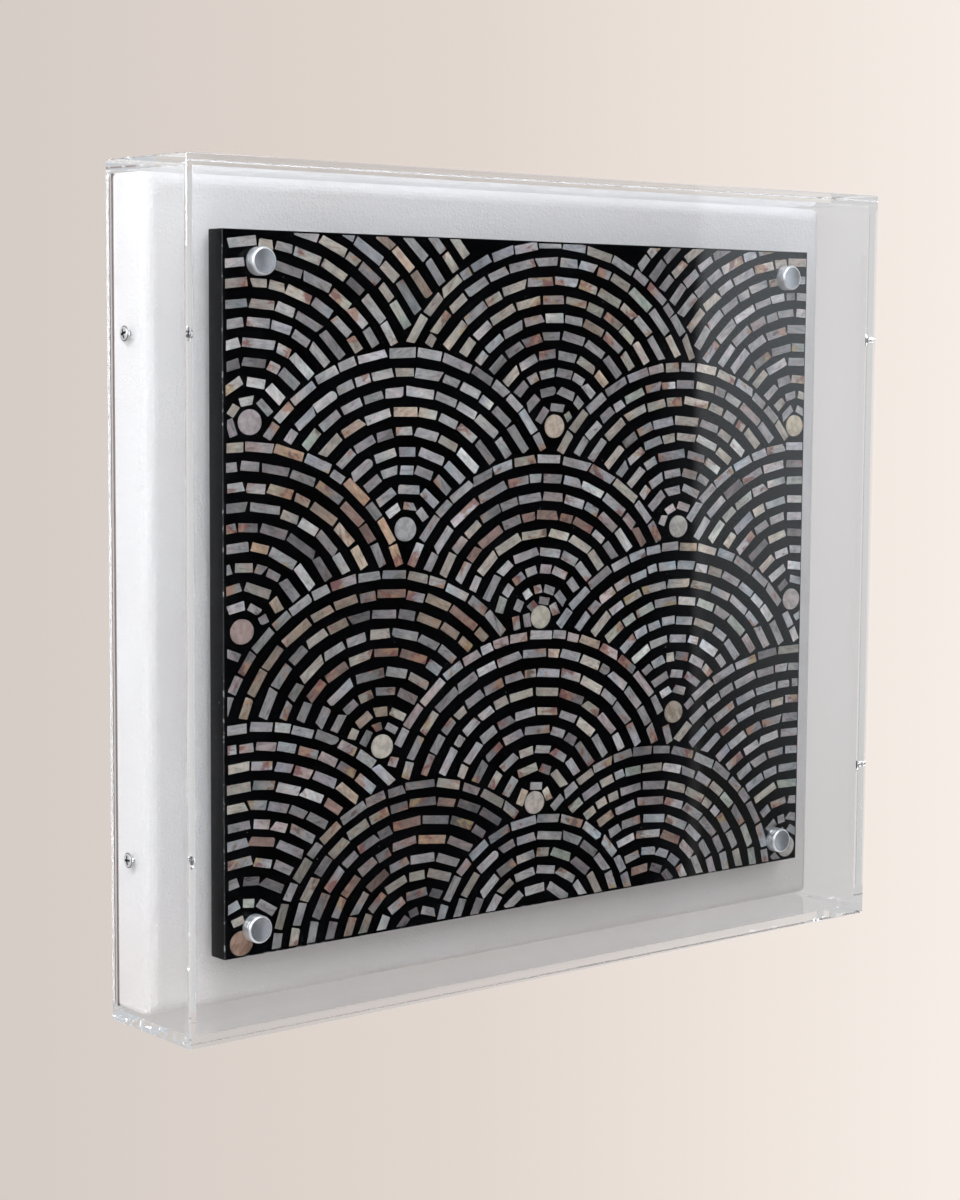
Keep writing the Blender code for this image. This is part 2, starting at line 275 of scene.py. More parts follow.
def ground():
    """Black resin with a few pale specks, and pale chips along the board's edges."""
    material, g, p = shader("look_black_ground", Specular_IOR_Level=0.13)
    where = object_space(g)
    x, y, z = g.split(where)
    cloud = g.noise(where, 26.0, 3.0)
    grit = g.noise(where, 900.0, 3.0)
    colour = g.mix(g.step(cloud, 0.35, 0.65), (0.0014, 0.0014, 0.0017), (0.0027, 0.0028, 0.0034))
    dots = g.cells(where, 85.0)
    speck = g.math("MULTIPLY", g.step(dots, 0.05, 0.03), g.step(cloud, 0.50, 0.60))
    colour = g.mix(g.math("MULTIPLY", speck, 0.6), colour, (0.30, 0.30, 0.29))
    dust = g.step(g.noise(where, 330.0, 4.0, 0.7), 0.68, 0.82, 0.0, 0.06)
    colour = g.mix(dust, colour, (0.16, 0.165, 0.17))
    # chips: right at the front arris, most of them down the left side and some along the bottom
    left = g.step(x, (-BOARD_W / 2 + 0.75) * MM, (-BOARD_W / 2 + 0.45) * MM)
    low = g.step(z, (BOARD_Z - BOARD_H / 2 + 1.0) * MM, (BOARD_Z - BOARD_H / 2 + 0.5) * MM)
    front = g.step(y, (-BOARD_FRONT + 0.75) * MM, (-BOARD_FRONT + 0.45) * MM)
    long_worn = g.step(g.noise(g.place(where, (1, 1, 0.6)), 330.0, 4.0, 0.7), 0.57, 0.63, 0.10, 1.0)  # a thin line, with chips
    low_worn = g.step(g.noise(where, 120.0, 4.0, 0.6), 0.58, 0.62)
    chips = g.math("MAXIMUM", g.math("MULTIPLY", left, long_worn), g.math("MULTIPLY", low, low_worn))
    chips = g.math("MULTIPLY", chips, front)
    colour = g.mix(g.math("MULTIPLY", chips, 0.85), colour, (0.46, 0.46, 0.45))
    g.put(p.inputs["Base Color"], colour)
    rough = g.math("ADD", g.step(grit, 0.3, 0.7, 0.035, 0.075), g.step(x, (1 - BOARD_W / 2) * MM, -BOARD_W / 2 * MM, 0.0, 0.12))
    g.put(p.inputs["Roughness"], g.math("ADD", rough, g.math("MULTIPLY", chips, 0.5), clamp=True))
    g.put(p.inputs["Normal"], g.bump(g.math("ADD", cloud, g.math("MULTIPLY", grit, 0.06)), 0.10, 0.0008))
    return material


def aluminium():
    material, g, p = shader("look_satin_aluminium", Metallic=1.0)
    where = object_space(g)
    grain = g.noise(where, 1400.0, 2.0)
    cloud = g.noise(where, 120.0, 2.0)
    g.put(p.inputs["Base Color"], g.mix(g.step(cloud, 0.3, 0.7), (0.76, 0.77, 0.785), (0.84, 0.845, 0.855)))
    g.put(p.inputs["Roughness"], g.step(grain, 0.3, 0.7, 0.27, 0.36))
    g.put(p.inputs["Normal"], g.bump(grain, 0.10, 0.00008))
    return material


def turned_place(graph):
    """Distance from a turned piece's axis, height along it, and its own place, all stored on the mesh."""
    place = graph.node("ShaderNodeAttribute", attribute_name="turned").outputs["Vector"]
    x, y, h = graph.split(place)
    radius = graph.math("SQRT", graph.math("ADD", graph.math("MULTIPLY", x, x), graph.math("MULTIPLY", y, y)))
    return place, radius, h


def line_noise(graph, value, scale, detail=2.0):
    made = graph.node("ShaderNodeCombineXYZ")
    graph.put(made.inputs[0], value)
    return graph.noise(made.outputs[0], scale, detail)


def cap_metal():
    """Satin anodised aluminium, turned, with a painted highlight on its rim."""
    material, g, p = shader("look_turned_aluminium", Metallic=0.8)
    place, radius, h = turned_place(g)
    rings = line_noise(g, g.math("ADD", radius, g.math("MULTIPLY", h, 1.7)), 4200.0)
    cloud = g.noise(place, 160.0, 2.0)
    # painted highlight: the rim's colour made near white where its chamfer catches the light
    rim_highlight = g.math("MULTIPLY", g.step(radius, (FACE_R - 0.1) * MM, (FACE_R + 0.2) * MM), g.step(h, (CAP_H - 2.0) * MM, (CAP_H - 1.7) * MM))
    colour = g.mix(g.step(cloud, 0.3, 0.7), (0.635, 0.65, 0.67), (0.68, 0.69, 0.71))
    barrel = g.step(h, (CAP_H - 1.2) * MM, (CAP_H - 1.7) * MM)
    colour = g.mix(barrel, colour, (0.80, 0.81, 0.83))
    # painted shade: the groove round the cap's side darkened
    groove_shade = g.math("MULTIPLY", g.step(radius, (CAP_R - 0.05) * MM, (CAP_R - 0.15) * MM), g.math("MULTIPLY", g.step(h, 2.35 * MM, 2.5 * MM), g.step(h, 3.15 * MM, 3.0 * MM)))
    colour = g.mix(g.math("MULTIPLY", groove_shade, 0.6), colour, (0.20, 0.20, 0.21))
    colour = g.mix(g.math("MULTIPLY", rim_highlight, 0.9), colour, (0.98, 0.98, 0.99))
    g.put(p.inputs["Base Color"], colour)
    g.put(p.inputs["Roughness"], g.math("ADD", g.step(rings, 0.3, 0.7, 0.18, 0.24), g.math("MULTIPLY", g.math("MAXIMUM", rim_highlight, barrel), 0.15)))
    g.put(p.inputs["Normal"], g.bump(rings, 0.12, 0.00008))
    return material


def screw_metal():
    """Bright zinc, with painted shade inside the cross recess and a painted shadow ring round the head's edge."""
    material, g, p = shader("look_screw_zinc", Metallic=0.9)
    place, radius, h = turned_place(g)
    grain = g.noise(place, 900.0, 2.0)
    colour = g.mix(g.step(grain, 0.3, 0.7), (0.50, 0.52, 0.535), (0.62, 0.64, 0.655))
    # how far a point lies under the head's dome
    crown = g.math("ADD", h, g.math("MULTIPLY", g.math("MULTIPLY", radius, radius), 1 / (26.0 * MM)))
    # painted shade: near black inside the cross recess
    recess = g.math("MULTIPLY", g.step(crown, 1.12 * MM, 0.98 * MM), g.math("MULTIPLY", g.step(radius, 4.5 * MM, 4.3 * MM), g.step(h, -1.9 * MM, -1.8 * MM)))
    colour = g.mix(g.math("MULTIPLY", recess, 0.97), colour, (0.012, 0.017, 0.018))
    # painted shadow: a dark ring round the head's edge, where it sits in its hole
    edge = g.math("MULTIPLY", g.step(radius, 4.6 * MM, 4.9 * MM), g.step(h, -0.35 * MM, -0.25 * MM))
    colour = g.mix(g.math("MULTIPLY", edge, 0.9), colour, (0.06, 0.066, 0.07))
    g.put(p.inputs["Base Color"], colour)
    g.put(p.inputs["Roughness"], g.math("ADD", g.step(grain, 0.3, 0.7, 0.30, 0.40), g.math("MULTIPLY", recess, 0.3)))
    g.put(p.inputs["Normal"], g.bump(grain, 0.10, 0.00006))
    return material


def tile_shell():
    """Mother-of-pearl: each tile's own tint, which also carries a painted sheen and a painted highlight along its edge,
    streaked along its grain, with faint green and pink play and brown marks.
    """
    material, g, p = shader("look_shell_tiles", Coat_Weight=0.35, Coat_Roughness=0.10, Specular_IOR_Level=0.6)
    tint = g.node("ShaderNodeAttribute", attribute_name="shell_tint")
    grain = g.node("ShaderNodeAttribute", attribute_name="shell_grain").outputs["Vector"]
    streak = g.noise(g.place(grain, (0.28, 1.0, 1.0)), 420.0, 5.0, 0.65, 0.8)
    cloud = g.noise(grain, 130.0, 3.0)
    play = g.noise(grain, 170.0, 2.0)
    colour = g.mix(g.step(streak, 0.28, 0.72), g.vector("SCALE", tint.outputs["Color"], 0.72), g.vector("SCALE", tint.outputs["Color"], 1.22))
    colour = g.mix(g.step(cloud, 0.30, 0.70), g.vector("SCALE", colour, 0.86), g.vector("SCALE", colour, 1.12))
    colour = g.mix(g.step(play, 0.36, 0.64), g.vector("MULTIPLY", colour, (1.035, 0.975, 0.985)), g.vector("MULTIPLY", colour, (0.965, 1.015, 1.01)))
    mark = g.math("ADD", g.noise(g.place(grain, (0.45, 1.0, 1.0), shift=(3.1, 1.7, 0.4)), 190.0, 4.0, 0.6), g.math("MULTIPLY", tint.outputs["Alpha"], 0.34))
    mark = g.math("MULTIPLY", g.step(mark, 0.64, 0.73), 0.82)
    kind = g.noise(grain, 22.0, 1.0)  # the same over most of a tile
    dark_mark = g.mix(g.step(kind, 0.40, 0.46), (0.13, 0.065, 0.05), (0.27, 0.085, 0.075))
    pale_mark = g.mix(g.step(kind, 0.54, 0.60), (0.48, 0.26, 0.16), (0.47, 0.35, 0.15))
    colour = g.mix(mark, colour, g.mix(g.step(cloud, 0.42, 0.58), dark_mark, pale_mark))
    dots = g.cells(grain, 260.0)
    hole = g.math("MULTIPLY", g.step(dots, 0.13, 0.08), g.step(cloud, 0.60, 0.66))
    colour = g.mix(g.math("MULTIPLY", hole, 0.8), colour, (0.03, 0.02, 0.02))
    g.put(p.inputs["Base Color"], colour)
    g.put(p.inputs["Roughness"], g.step(streak, 0.25, 0.75, 0.24, 0.42))
    g.put(p.inputs["Normal"], g.bump(g.math("ADD", streak, g.math("MULTIPLY", cloud, 1.5)), 0.12, 0.0004))
    return material


def disc_shell(name, first, second, banding):
    material, g, p = shader("look_" + name, Coat_Weight=0.35, Coat_Roughness=0.10, Specular_IOR_Level=0.6)
    angle = sum(map(ord, name)) % 180
    place, radius, h = turned_place(g)
    where = g.place(place, turn=(0, 0, math.radians(angle)), shift=(angle * 0.37, 0, 0))
    bands = g.noise(g.place(where, (0.22, 1.0, 1.0)), 240.0, 3.0, 0.6, 0.8)
    cloud = g.noise(where, 130.0, 3.0)
    colour = g.mix(g.step(bands, 0.38, 0.62, 0.0, banding), first, second)
    colour = g.mix(g.step(cloud, 0.35, 0.65), g.vector("SCALE", colour, 0.88), g.vector("SCALE", colour, 1.10))
    colour = g.mix(g.step(radius, 8.2 * MM, 9.3 * MM, 0.0, 0.5), colour, g.vector("SCALE", colour, 0.72))
    g.put(p.inputs["Base Color"], colour)
    g.put(p.inputs["Roughness"], g.step(cloud, 0.25, 0.75, 0.20, 0.36))
    g.put(p.inputs["Normal"], g.bump(bands, 0.10, 0.0004))
    return material


def floor_look():
    material, g, p = shader("look_floor")
    where = object_space(g)
    fine = g.noise(where, 30.0, 4.0)
    g.put(p.inputs["Base Color"], g.mix(g.step(fine, 0.3, 0.7), (0.70, 0.68, 0.65), (0.74, 0.72, 0.69)))
    g.put(p.inputs["Roughness"], g.step(fine, 0.3, 0.7, 0.6, 0.8))
    return material


def dress(node, material):
    NODES[node].material_slots[0].material = material


LOOKS = {
    "acrylic": acrylic(), "plaster": plaster(), "ground": ground(), "aluminium": aluminium(),
    "cap": cap_metal(), "screw": screw_metal(),
}
for node in NODES:
    if node == "acrylic_cover":
        dress(node, LOOKS["acrylic"])
    elif node == "backing_block":
        dress(node, LOOKS["plaster"])
    elif node == "mosaic_board":
        dress(node, LOOKS["ground"])
    elif node.startswith("standoff"):
        dress(node, LOOKS["aluminium"])


# ---------------------------------------------------------------- turned pieces, finer than the solids
def revolve(profile, steps, shape=lambda angle: (1.0, 1.0)):
    """Points and faces of a turned piece from (radius, height) in mm, from its top to its bottom on the axis."""
    verts, faces, rings = [], [], []
    for radius, height in profile:
        if radius == 0.0:
            rings.append([len(verts)])
            verts.append((0.0, 0.0, height))
            continue
        ring = []
        for index in range(steps):
            angle = 2 * math.pi * index / steps
            wide, tall = shape(angle)
            ring.append(len(verts))
            verts.append((radius * wide * math.cos(angle), radius * tall * math.sin(angle), height))
        rings.append(ring)
    for upper, lower in zip(rings, rings[1:]):
        for index in range(steps):
            after = (index + 1) % steps
            if len(upper) == 1:
                faces.append((upper[0], lower[index], lower[after]))
            elif len(lower) == 1:
                faces.append((upper[index], lower[0], upper[after]))
            else:
                faces.append((upper[index], lower[index], lower[after], upper[after]))
    return verts, faces


def set_in(name, verts, faces, place, look, node):
    """Sets a turned piece in its place, with its own coordinates kept on it, in the stead of a solid."""
    mesh = bpy.data.meshes.new(name)
    mesh.from_pydata([place(Vector(v) * MM) for v in verts], [], faces)
    own = mesh.attributes.new("turned", "FLOAT_VECTOR", "POINT")
    own.data.foreach_set("vector", (np.array(verts, np.float32) * MM).ravel())
    mesh.materials.append(look)
    obj = bpy.data.objects.new(name, mesh)
    bpy.context.scene.collection.objects.link(obj)
    mesh.shade_smooth()
    mesh.set_sharp_from_angle(angle=math.radians(34))
    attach(obj, "root")
    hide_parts(node)
    return obj


def out_of_board(x, z, depth):
    """Local height runs out of the board, along -Y, from `depth` in front of the wall."""
    return lambda v: (x * MM + v.x, -depth * MM - v.z, z * MM + v.y)


CAP_PROFILE = [(r * FACE_R, CAP_H - CAP_DISH * (1 - r ** 2)) for r in (0.0, 0.2, 0.4, 0.57, 0.74, 0.89, 1.0)] + [
    (CAP_R - 1.2, CAP_H), (CAP_R - 0.85, CAP_H - 0.12), (CAP_R - 0.5, CAP_H - 0.36), (CAP_R - 0.24, CAP_H - 0.72),
    (CAP_R - 0.06, CAP_H - 1.15), (CAP_R, CAP_H - 1.6), (CAP_R, 6.1), (CAP_R - 0.12, 5.95), (CAP_R - 0.12, 5.75), (CAP_R, 5.6), (CAP_R, 3.1), (CAP_R - 0.18, 2.95), (CAP_R - 0.25, 2.75),
    (CAP_R - 0.18, 2.55), (CAP_R, 2.4), (CAP_R, 0.2), (CAP_R - 0.15, 0.0),
    (STUD_R, 0.0), (STUD_R, 0.3 - STUD_L), (STUD_R - 0.3, -STUD_L), (0.0, -STUD_L),
]
for place, (x, z) in CAP_PLACES.items():
    verts, faces = revolve(CAP_PROFILE, 96)
    set_in(f"fine_cap_{place}", verts, faces, out_of_board(x, z, BOARD_FRONT + FIT), LOOKS["cap"], f"standoff_cap_{place}")

DISC_PROFILE = [
    (0.0, DISC_PROUD), (4.0, DISC_PROUD - 0.01), (DISC_R - 0.7, DISC_PROUD - 0.03), (DISC_R - 0.3, DISC_PROUD - 0.10),
    (DISC_R - 0.05, DISC_PROUD - 0.28), (DISC_R, -0.2), (DISC_R, -DISC_T), (0.0, -DISC_T),
]
for name, (across, down) in DISC_PLACES.items():
    seed = np.random.default_rng(sum(map(ord, name)))
    lean, two, three = seed.uniform(0, 6.28, 3)
    oval = seed.uniform(0.008, 0.022)

    def hand_cut(angle, lean=lean, two=two, three=three, oval=oval):
        ripple = 1 + 0.008 * math.sin(2 * angle + two) + 0.006 * math.sin(3 * angle + three) + 0.003 * math.sin(7 * angle + lean)
        return ripple * (1 + oval) * DISC_WIDE, ripple * (1 - oval)

    verts, faces = revolve(DISC_PROFILE, 72, hand_cut)
    x, z = (across - 0.5) * BOARD_W, BOARD_Z + (0.5 - down) * BOARD_H
    set_in(
        f"fine_disc_{name}", verts, faces, out_of_board(x, z, BOARD_FRONT), disc_shell("disc_" + name, *DISC_LOOK[name]),
        f"shell_disc_{name}",
    )


def screw_shape():
    """A countersunk screw with a cross recess and rolled threads, head up."""
    profile = [(0.0, HEAD_DOME), (1.5, 1.12), (2.8, 0.92), (3.8, 0.68), (4.6, 0.38), (5.1, 0.08), (HEAD_R, -0.05), (HEAD_R, -0.25), (2.25, -2.7), (1.9, -3.4)]
    depth = -3.6
    while depth > -22.0:
        profile += [(1.72, depth), (2.0, depth - 0.42)]
        depth -= 0.8
    profile += [(1.5, -22.8), (0.5, -24.8), (0.0, -25.0)]
    verts, faces = revolve(profile, 48)
    mesh = bpy.data.meshes.new("screw")
    mesh.from_pydata([Vector(v) for v in verts], [], faces)
    whole = bpy.data.objects.new("screw", mesh)
    bpy.context.scene.collection.objects.link(whole)
    cutters = []
    for number in range(2):
        box = [
            ((1 if i & 1 else -1) * (2.4 if not i & 4 else 4.3), (1 if i & 2 else -1) * (0.55 if not i & 4 else 0.95), -1.6 if not i & 4 else 2.4)
            for i in range(8)
        ]
        if number:
            box = [(-b, a, c) for a, b, c in box]
        cut_mesh = bpy.data.meshes.new("cross")
        cut_mesh.from_pydata(box, [], [(0, 2, 3, 1), (4, 5, 7, 6), (0, 1, 5, 4), (1, 3, 7, 5), (3, 2, 6, 7), (2, 0, 4, 6)])
        cutter = bpy.data.objects.new("cross", cut_mesh)
        bpy.context.scene.collection.objects.link(cutter)
        cut = whole.modifiers.new("cross", "BOOLEAN")
        cut.operation, cut.solver, cut.object = "DIFFERENCE", "EXACT", cutter
        cutters.append(cutter)
    bpy.context.view_layer.update()
    result = bpy.data.meshes.new_from_object(whole.evaluated_get(bpy.context.evaluated_depsgraph_get()))
    shape = [tuple(v.co) for v in result.vertices], [tuple(f.vertices) for f in result.polygons]
    for obj in (whole, *cutters):
        bpy.data.objects.remove(obj, do_unlink=True)
    return shape


def into_side(side, z, spin):
    """Local height runs out of the left (-1) or right (+1) face of the cover."""
    c, s = math.cos(spin), math.sin(spin)
    return lambda v: (side * (CASE_W / 2 * MM + v.z), -SCREW_Y * MM + (v.x * c - v.y * s), z * MM + side * (v.x * s + v.y * c))


SCREW_VERTS, SCREW_FACES = screw_shape()
for side, side_name in ((-1, "left"), (1, "right")):
    for height, z, spin in (("upper", SCREW_Z, 38.0 + 20 * side), ("lower", -SCREW_Z, 72.0 - 25 * side)):
        turned_faces = SCREW_FACES
        set_in(
            f"fine_screw_{side_name}_{height}", SCREW_VERTS, turned_faces, into_side(side, z, math.radians(spin)),
            LOOKS["screw"], f"cover_screw_{side_name}_{height}",
        )


# ---------------------------------------------------------------- shell tiles
def clip(polygon, axis, limit, keep_above):
    """The part of a polygon on one side of a line across or down the board."""
    kept = []
    for (a, b) in zip(polygon, polygon[1:] + polygon[:1]):
        a_in = (a[axis] >= limit) == keep_above
        b_in = (b[axis] >= limit) == keep_above
        if a_in:
            kept.append(a)
        if a_in != b_in:
            t = (limit - a[axis]) / (b[axis] - a[axis])
            kept.append((a[0] + t * (b[0] - a[0]), a[1] + t * (b[1] - a[1])))
    return kept


def area_of(polygon):
    return 0.5 * sum(a[0] * b[1] - b[0] * a[1] for a, b in zip(polygon, polygon[1:] + polygon[:1]))


def outline(rng, length, width):
    """A slightly irregular rectangle round (0, 0), as a snapped and ground shell tile has."""
    half_l, half_w = length / 2, width / 2
    jitter = min(0.6, 0.022 * length)
    corners = [
        [sx * half_l + rng.normal(0, jitter), sy * half_w + rng.normal(0, 0.34)]
        for sx, sy in ((-1, -1), (1, -1), (1, 1), (-1, 1))
    ]
    for end, (low, high) in ((-1, (0, 3)), (1, (1, 2))):
        skew = rng.normal(0, 0.5)
        if rng.random() < 0.08:
            skew = rng.choice((-1, 1)) * rng.uniform(1.8, 4.0)
        corners[low][0] += skew
        corners[high][0] -= skew
    chipped = rng.integers(0, 4) if rng.random() < 0.12 else -1
    rounded_end = rng.random() < 0.008
    points = []
    for index, corner in enumerate(corners):
        before, after = corners[index - 1], corners[(index + 1) % 4]
        cut = rng.uniform(0.15, 0.5)
        if index == chipped:
            cut = rng.uniform(2.0, 4.5)
        if rounded_end and index in (1, 2):
            cut = width * 0.36
        steps = 3 if cut > 2.0 else 2
        for step in range(steps):
            t = step / (steps - 1)
            near = []
            for other, share in ((before, 1 - t), (after, t)):
                reach = math.hypot(other[0] - corner[0], other[1] - corner[1])
                near.append(((other[0] - corner[0]) * min(cut / reach, 0.45) * share, (other[1] - corner[1]) * min(cut / reach, 0.45) * share))
            pull = 0.72 if 0 < t < 1 else 1.0
            points.append((corner[0] + (near[0][0] + near[1][0]) * pull, corner[1] + (near[0][1] + near[1][1]) * pull))
    return points


def free_runs(centre, radius, blockers, own_disc):
    """Angles along a ring where a tile would be on the board and clear of the fans in front."""
    count = 1440
    angles = np.linspace(-math.pi, math.pi, count, endpoint=False)
    free = np.ones(count, bool)
    for offset in (-TILE_WIDE / 2, 0.0, TILE_WIDE / 2):
        u = centre[0] + (radius + offset) * np.cos(angles)
        v = centre[1] + (radius + offset) * np.sin(angles)
        for (bu, bv, reach) in blockers:
            free &= np.hypot(u - bu, v - bv) > reach
    u = centre[0] + radius * np.cos(angles)
    v = centre[1] + radius * np.sin(angles)
    free &= (u > -4) & (u < SPAN + 4) & (v > -4) & (v < SPAN + 2)
    if free.all():
        return [(-math.pi / 2 - math.pi, -math.pi / 2 + math.pi)]
    start = int(np.argmin(free))
    order = (np.arange(count) + start) % count
    runs, first = [], None
    for position, index in enumerate(order):
        if free[index] and first is None:
            first = position
        if not free[index] and first is not None:
            runs.append((first, position - 1))
            first = None
    if first is not None:
        runs.append((first, count - 1))
    step = 2 * math.pi / count
    base = angles[start]
    return [(base + a * step, base + b * step) for a, b in runs]


def lay_tiles():
    rng = np.random.default_rng(2411)
    shades = {name: np.array(value) for name, value in SHADES.items()}
    tiles = []
    discs = [(u, v, DISC_KEEP) for name, u, v, _, _, _, small in FANS if small]
    front = []
    for name, cu, cv, outer, inner, count, small in FANS:
        laid = []
        moods = MOODS[FAN_MOOD[name]]
        names, weights = list(moods), np.array(list(moods.values()), float)
        weights /= weights.sum()
        radii = list(np.linspace(outer, inner, count)) + ([small] if small else [])
        for ring, radius in enumerate(radii):
            radius = radius + (rng.normal(0, 0.9) if ring else 0.0)
            usual = names[rng.choice(len(names), p=weights)]
            second = names[rng.choice(len(names), p=weights)]
            small_ring = radius < 50
            width = TILE_WIDE - (1.6 if small_ring else 0.0)
            blockers = front + [d for d in discs if (d[0], d[1]) != (cu, cv)]
            for first, last in free_runs((cu, cv), radius, blockers, small):
                first += rng.uniform(0.0, 3.0) / radius
                last -= rng.uniform(0.0, 3.0) / radius
                room = (last - first) * radius
                if room < 12:
                    continue
                mean = 40.0 if radius > 110 else (31.0 if radius > 60 else 23.0)
                spread = 0.62 * width * math.tan(min(mean / (2 * radius), 0.6))
                gap_here = TILE_GAP + spread
                lengths = []
                while sum(lengths) + gap_here * len(lengths) < room:
                    long = rng.normal(mean, mean * 0.19)
                    if rng.random() < 0.06:
                        long *= 0.62
                    lengths.append(float(np.clip(long, mean * 0.5, mean * 1.5)))
                over = sum(lengths) + gap_here * (len(lengths) - 1) - room
                if len(lengths) > 1 and over > lengths[-1] * 0.5:
                    lengths.pop()
                gaps = [max(2.4 + spread, gap_here + rng.normal(0, 1.0)) for _ in lengths[1:]]
                scale = (room - sum(gaps)) / sum(lengths)
                if scale > 1.35 or scale < 0.4:
                    scale = min(max(scale, 0.4), 1.2)
                lengths = [length * scale for length in lengths]
                at = first * radius
                for index, length in enumerate(lengths):
                    middle = (at + length / 2) / radius
                    at += length + (gaps[index] if index < len(gaps) else 0.0)
                    seat = radius + rng.normal(0, 0.7)
                    turn = middle + math.pi / 2 + rng.normal(0, 0.022)
                    chord = 2 * radius * math.sin(min(length / (2 * radius), 1.2)) if small_ring else length
                    shape = outline(rng, chord, width + rng.normal(0, 0.7))
                    c, s = math.cos(turn), math.sin(turn)
                    ou, ov = cu + seat * math.cos(middle), cv + seat * math.sin(middle)
                    polygon = [(ou + a * c - b * s, ov + a * s + b * c) for a, b in shape]
                    for axis, limit, above in (
                        (0, EDGE_LEFT + rng.uniform(-1.5, 1.5), True), (0, SPAN - EDGE_RIGHT + rng.uniform(-1, 1), False),
                        (1, EDGE_TOP + rng.uniform(-1, 1), True), (1, SPAN - EDGE_BOTTOM + rng.uniform(-1.5, 1.5), False),
                    ):
                        if polygon:
                            polygon = clip(polygon, axis, limit, above)
                    if len(polygon) < 3 or abs(area_of(polygon)) < 95:
                        continue
                    pick = rng.random()
                    shade = usual if pick < 0.42 else (second if pick < 0.58 else names[rng.choice(len(names), p=weights)])
                    colour = shades[shade] * math.exp(rng.normal(0, 0.17))
                    colour = colour * (1 + rng.normal(0, 0.012, 3))
                    stain = max(0.0, rng.normal(0.38, 0.30)) if rng.random() < STAINED[FAN_MOOD[name]] else 0.0
                    laid.append((polygon, colour, min(stain, 1.0) * rng.choice((-1, 1)), turn))
        areas = np.array([abs(area_of(tile[0])) for tile in laid])
        gain = FAN_LIGHT[name] / (areas @ np.array([tile[1].mean() for tile in laid]) / areas.sum())
        tiles += [(polygon, (colour * gain).clip(0.05, 0.88), stain, turn) for polygon, colour, stain, turn in laid]
        front.append((cu, cv, outer + TILE_WIDE / 2 + 4.5))
    return tiles


def tiles_mesh(tiles):
    rng = np.random.default_rng(97)
    verts, faces, tints, grains = [], [], [], []
    for polygon, colour, stain, turn in tiles:
        if area_of(polygon) < 0:
            polygon = polygon[::-1]
        # steps to mm, x to the right and z up; this turns the polygon's sense round
        flat = np.array([((u / SPAN - 0.5) * BOARD_W, BOARD_Z + (0.5 - v / SPAN) * BOARD_H) for u, v in polygon])
        flat = flat[::-1]
        keep = np.hypot(*(flat - np.roll(flat, 1, axis=0)).T) > 0.05
        flat = flat[keep]
        n = len(flat)
        if n < 3:
            continue
        middle = flat.mean(0)
        reach = np.hypot(*(flat - middle).T)
        inner = middle + (flat - middle) * (1 - ARRIS / np.maximum(reach, 1.0))[:, None]
        tilt = rng.normal(0, 0.0035, 2)
        lift = PROUD - abs(tilt).sum() * 6 - rng.uniform(0, 0.05)
        top = BOARD_FRONT + lift + (inner - middle) @ tilt
        shoulder = BOARD_FRONT + lift - 0.10 + (flat - middle) @ tilt
        top, shoulder = np.minimum(top, BOARD_FRONT + 0.28), np.minimum(shoulder, BOARD_FRONT + 0.2)
        base = len(verts)
        for points, depth in ((inner, top), (flat, shoulder), (flat, np.full(n, BOARD_FRONT - SUNK))):
            verts.extend((p[0] * MM, -d * MM, p[1] * MM) for p, d in zip(points, depth))
        faces.append([base + i for i in range(n)])
        for level in (0, 1):
            for i in range(n):
                j = (i + 1) % n
                a, b = base + level * n, base + (level + 1) * n
                faces.append([a + i, b + i, b + j, a + j])
        faces.append([base + 2 * n + i for i in reversed(range(n))])
        along = np.array((math.cos(-turn), math.sin(-turn)))
        across = np.array((-along[1], along[0]))
        shift = rng.uniform(-40, 40, 3)
        lengthwise = along.copy()
        lean = rng.normal(0, 0.2)
        along, across = along * math.cos(lean) + across * math.sin(lean), across * math.cos(lean) - along * math.sin(lean)
        # a painted sheen: a soft change of light and hue across the tile
        way = rng.uniform(0, 2 * math.pi)
        way = np.array((math.cos(way), math.sin(way))) / max(reach.max(), 1.0)
        sheen_lighter, sheen_warmer = rng.normal(0, 0.16), rng.normal(0, 0.05)
        for edge_highlight, points in ((1.0, inner), (1.30, flat), (1.0, flat)):  # paler on the tile's shoulder, a painted highlight along its edge
            for p in points - middle:
                grains.append(((p @ along) * MM + shift[0], (p @ across) * MM + shift[1], shift[2]))
                t = p @ way
                toward = (p @ lengthwise) / max(reach.max(), 1.0) * math.copysign(1, stain)  # marks gather at one end
                mark = abs(stain) * min(max(0.5 + 0.8 * toward, 0.0), 1.2)
                tints.append((*(edge_highlight * colour * (1 + sheen_lighter * t) * (1 + sheen_warmer * t * np.array((1.0, -0.1, -0.9)))).clip(0.03, 0.9), mark))
    mesh = bpy.data.meshes.new("shell_tiles")
    mesh.from_pydata(verts, [], faces)
    mesh.validate()
    tint = mesh.attributes.new("shell_tint", "FLOAT_COLOR", "POINT")
    tint.data.foreach_set("color", np.array(tints, np.float32).ravel())
    grain = mesh.attributes.new("shell_grain", "FLOAT_VECTOR", "POINT")
    grain.data.foreach_set("vector", np.array(grains, np.float32).ravel())
    return mesh


tiles = lay_tiles()
shell_tiles = bpy.data.objects.new("shell_tiles", tiles_mesh(tiles))
bpy.context.scene.collection.objects.link(shell_tiles)
shell_tiles.data.materials.append(tile_shell())
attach(shell_tiles, "root")
print("tiles", len(tiles), "faces", len(shell_tiles.data.polygons))

# ---------------------------------------------------------------- floor, light and world
FLOOR_Z, FLOOR_HALF = -1.5, 1.75
floor_mesh = bpy.data.meshes.new("floor")
floor_mesh.from_pydata(
    [(x * FLOOR_HALF, y * FLOOR_HALF, FLOOR_Z) for x, y in ((-1, -1), (1, -1), (1, 1), (-1, 1))], [], [(0, 1, 2, 3)]
)
floor = bpy.data.objects.new("floor", floor_mesh)
bpy.context.scene.collection.objects.link(floor)
floor_mesh.materials.append(floor_look())


